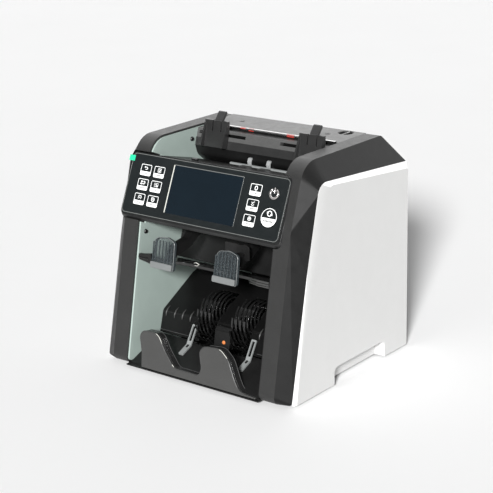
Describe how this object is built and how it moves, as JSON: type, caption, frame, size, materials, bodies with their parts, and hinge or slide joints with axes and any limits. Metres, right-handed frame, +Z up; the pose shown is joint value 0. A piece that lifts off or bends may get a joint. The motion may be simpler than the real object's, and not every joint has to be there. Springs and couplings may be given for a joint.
{
  "type": "banknote counter",
  "caption": "Desktop banknote counter with a top feed hopper, an angled control panel with display and keys, a small reject pocket and a larger stacker pocket.",
  "frame": {"origin": "on the floor under the middle of the machine", "axes": "+X is the operator's right, -Y is the front with the control panel, +Z is up"},
  "size_m": [0.29, 0.2564, 0.2994],
  "materials": {
    "white_case": "smooth satin, moulded",
    "black_case": "fine spark texture",
    "inner_black": "satin black",
    "top_cover": "satin, fine texture",
    "rubber": "matte",
    "side_plate": "grey-green powder coat",
    "screw": "black oxide",
    "rail": "bright, with red scale marks",
    "light_trim": "light grey, smooth",
    "steel": "ground",
    "motor": "zinc grey",
    "overlay": "satin film with white printed key outlines",
    "display": "dark, unlit",
    "film": "green pull tab",
    "power_key": "bright ring",
    "clear_plastic": "clear, frosted lower lip",
    "lens": "amber",
    "tray": "satin charcoal"
  },
  "bodies": {
    "case": {"base_pan": "inner_black", "feet": "rubber", "side_panel_left": "white_case", "side_panel_right": "white_case", "frame_left": "black_case", "frame_right": "black_case", "side_plate_left": "side_plate", "side_plate_right": "side_plate", "plate_screws": "screw", "rear_cover": "black_case", "mains_inlet": "inner_black", "top_cover": "top_cover", "cover_screws": "screw", "hopper_block": "inner_black", "guide_rail": "rail", "hopper_floor": "inner_black", "feed_lip": "light_trim", "throat_guides": "light_trim", "feed_motor": "motor", "panel_housing": "black_case", "panel_overlay": "overlay", "display_glass": "display", "film_tab": "film", "scanner_upper": "inner_black", "scanner_lower": "inner_black", "pocket_floor": "inner_black", "stop_shaft": "steel", "stacker_ramp": "inner_black", "centre_column": "inner_black", "sensor_lens": "lens", "stripper_guides": "light_trim", "stacker_motor": "motor", "tray_floor": "inner_black", "tray_front": "tray", "power_supply": "motor"},
    "note_guide_left": {"guide_left": "inner_black"},
    "note_guide_right": {"guide_right": "inner_black"},
    "thickness_knob": {"adjust_knob": "inner_black"},
    "feed": {"feed_shaft": "steel", "feed_rollers": "rubber"},
    "stacker": {"stacker_shaft": "steel", "wheel_left": "inner_black", "wheel_right": "inner_black"},
    "reject_stop_left": {"stop_left": "clear_plastic", "arm_left": "inner_black"},
    "reject_stop_right": {"stop_right": "clear_plastic", "arm_right": "inner_black"},
    "key_a1_body": {"key_a1": "overlay"},
    "key_a2_body": {"key_a2": "overlay"},
    "key_a3_body": {"key_a3": "overlay"},
    "key_b1_body": {"key_b1": "overlay"},
    "key_b2_body": {"key_b2": "overlay"},
    "key_b3_body": {"key_b3": "overlay"},
    "key_c1_body": {"key_c1": "overlay"},
    "key_c2_body": {"key_c2": "overlay"},
    "key_c3_body": {"key_c3": "overlay"},
    "key_restart_body": {"key_restart": "overlay"},
    "key_power_body": {"key_power": "power_key"}
  },
  "joints": [
    {"name": "note_guide_left_slide", "type": "slide", "parent": "case", "child": "note_guide_left", "axis": [1, 0, 0], "range_m": [-0.0135, 0.033]},
    {"name": "note_guide_right_slide", "type": "slide", "parent": "case", "child": "note_guide_right", "axis": [1, 0, 0], "range_m": [-0.039, 0.002]},
    {"name": "thickness_knob_turn", "type": "hinge", "parent": "case", "child": "thickness_knob", "pos_m": [0.081, 0.086, 0.274], "axis": [0, 0, 1], "range_deg": [-150, 150]},
    {"name": "feed_spin", "type": "hinge", "parent": "case", "child": "feed", "pos_m": [0, 0.004, 0.226], "axis": [1, 0, 0], "continuous": true},
    {"name": "stacker_spin", "type": "hinge", "parent": "case", "child": "stacker", "pos_m": [0, -0.038, 0.05], "axis": [1, 0, 0], "continuous": true},
    {"name": "reject_stop_left_swing", "type": "hinge", "parent": "case", "child": "reject_stop_left", "pos_m": [0, -0.04, 0.176], "axis": [-1, 0, 0], "range_deg": [0, 16]},
    {"name": "reject_stop_right_swing", "type": "hinge", "parent": "case", "child": "reject_stop_right", "pos_m": [0, -0.04, 0.176], "axis": [-1, 0, 0], "range_deg": [0, 16]},
    {"name": "key_a1_press", "type": "slide", "parent": "case", "child": "key_a1_body", "axis": [0, 0.915, -0.4035], "range_m": [0, 0.0005], "stiffness_N_per_m": 600},
    {"name": "key_a2_press", "type": "slide", "parent": "case", "child": "key_a2_body", "axis": [0, 0.915, -0.4035], "range_m": [0, 0.0005], "stiffness_N_per_m": 600},
    {"name": "key_a3_press", "type": "slide", "parent": "case", "child": "key_a3_body", "axis": [0, 0.915, -0.4035], "range_m": [0, 0.0005], "stiffness_N_per_m": 600},
    {"name": "key_b1_press", "type": "slide", "parent": "case", "child": "key_b1_body", "axis": [0, 0.915, -0.4035], "range_m": [0, 0.0005], "stiffness_N_per_m": 600},
    {"name": "key_b2_press", "type": "slide", "parent": "case", "child": "key_b2_body", "axis": [0, 0.915, -0.4035], "range_m": [0, 0.0005], "stiffness_N_per_m": 600},
    {"name": "key_b3_press", "type": "slide", "parent": "case", "child": "key_b3_body", "axis": [0, 0.915, -0.4035], "range_m": [0, 0.0005], "stiffness_N_per_m": 600},
    {"name": "key_c1_press", "type": "slide", "parent": "case", "child": "key_c1_body", "axis": [0, 0.915, -0.4035], "range_m": [0, 0.0005], "stiffness_N_per_m": 600},
    {"name": "key_c2_press", "type": "slide", "parent": "case", "child": "key_c2_body", "axis": [0, 0.915, -0.4035], "range_m": [0, 0.0005], "stiffness_N_per_m": 600},
    {"name": "key_c3_press", "type": "slide", "parent": "case", "child": "key_c3_body", "axis": [0, 0.915, -0.4035], "range_m": [0, 0.0005], "stiffness_N_per_m": 600},
    {"name": "key_restart_press", "type": "slide", "parent": "case", "child": "key_restart_body", "axis": [0, 0.915, -0.4035], "range_m": [0, 0.0005], "stiffness_N_per_m": 600},
    {"name": "key_power_press", "type": "slide", "parent": "case", "child": "key_power_body", "axis": [0, 0.915, -0.4035], "range_m": [0, 0.0005], "stiffness_N_per_m": 600}
  ]
}
